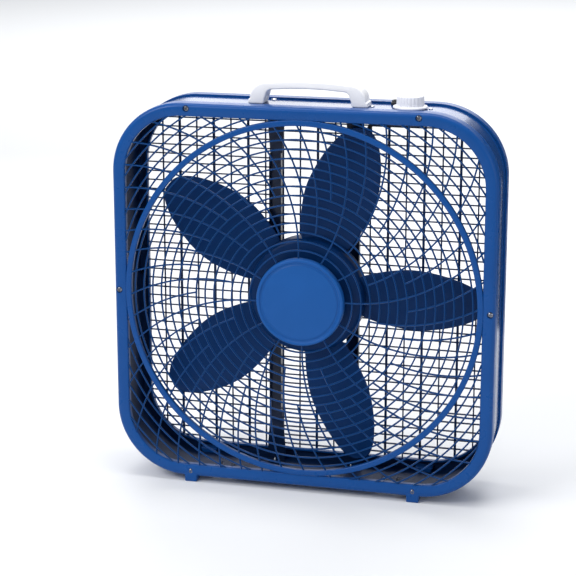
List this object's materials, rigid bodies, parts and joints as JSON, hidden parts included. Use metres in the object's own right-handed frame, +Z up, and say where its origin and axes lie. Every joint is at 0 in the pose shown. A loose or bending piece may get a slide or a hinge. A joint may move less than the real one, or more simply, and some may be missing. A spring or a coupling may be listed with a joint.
{
  "type": "box fan",
  "caption": "Square box fan with rounded corners, round-ribbed front guard, propeller on a central motor, top handle and speed knob.",
  "frame": {"origin": "on the ground, under the middle of the fan", "axes": "+X right as seen from the front, +Y to the back (air leaves towards -Y), +Z up"},
  "size_m": [0.524, 0.11, 0.5613],
  "materials": {
    "band_paint": "satin painted sheet steel",
    "case_plastic": "satin moulded plastic",
    "guard_plastic": "moulded plastic",
    "strut_paint": "painted sheet steel",
    "shield_steel": "zinc plated pressing",
    "lamination_steel": "stacked laminations",
    "copper": "enamelled copper wire",
    "bush_bronze": "sintered bronze",
    "felt": "oiled wool felt",
    "spring_steel": "spring steel",
    "screw_steel": "zinc plated",
    "white_plastic": "gloss moulded plastic",
    "switch_plastic": "phenolic moulding",
    "terminal_brass": "tinned brass",
    "cover_paint": "painted sheet steel",
    "capacitor_case": "moulded case",
    "lead_sheath": "PVC sheath",
    "clip_plastic": "nylon",
    "washer_fibre": "hard fibre",
    "blade_plastic": "satin moulded plastic",
    "spindle_plastic": "nylon"
  },
  "bodies": {
    "case": {"housing_band": "band_paint", "front_bezel": "case_plastic", "rear_bezel": "case_plastic", "front_guard": "case_plastic", "rear_guard": "guard_plastic", "centre_badge": "case_plastic", "motor_strut_left": "strut_paint", "motor_strut_right": "strut_paint", "motor_front_shield": "shield_steel", "motor_rear_shield": "shield_steel", "stator_stack": "lamination_steel", "stator_windings": "copper", "front_bush": "bush_bronze", "rear_bush": "bush_bronze", "oil_felts": "felt", "bush_retainers": "spring_steel", "motor_through_bolts": "screw_steel", "through_bolt_nuts": "screw_steel", "motor_mount_screws": "screw_steel", "motor_mount_nuts": "screw_steel", "strut_screws": "screw_steel", "handle": "white_plastic", "handle_screws": "screw_steel", "switch_body": "switch_plastic", "switch_base": "switch_plastic", "switch_terminals": "terminal_brass", "switch_nut": "screw_steel", "switch_cover": "cover_paint", "run_capacitor": "capacitor_case", "cover_screws": "screw_steel", "motor_lead": "lead_sheath", "lead_clips": "clip_plastic", "cord_gland": "clip_plastic", "front_bezel_screws": "screw_steel", "rear_bezel_screws": "screw_steel"},
    "rotor": {"thrust_washers": "washer_fibre", "rotor_core": "lamination_steel", "motor_shaft": "spring_steel", "propeller": "blade_plastic", "hub_clip": "spring_steel"},
    "knob": {"speed_knob": "white_plastic", "switch_spindle": "spindle_plastic", "switch_contact_wheel": "spindle_plastic"}
  },
  "joints": [
    {"name": "fan_spin", "type": "hinge", "parent": "case", "child": "rotor", "pos_m": [0, 0, 0.27], "axis": [0, 1, 0], "continuous": true},
    {"name": "knob_turn", "type": "hinge", "parent": "case", "child": "knob", "pos_m": [0.136, 0.001, 0.52935], "axis": [0, 0, -1], "range_deg": [0, 135]}
  ]
}
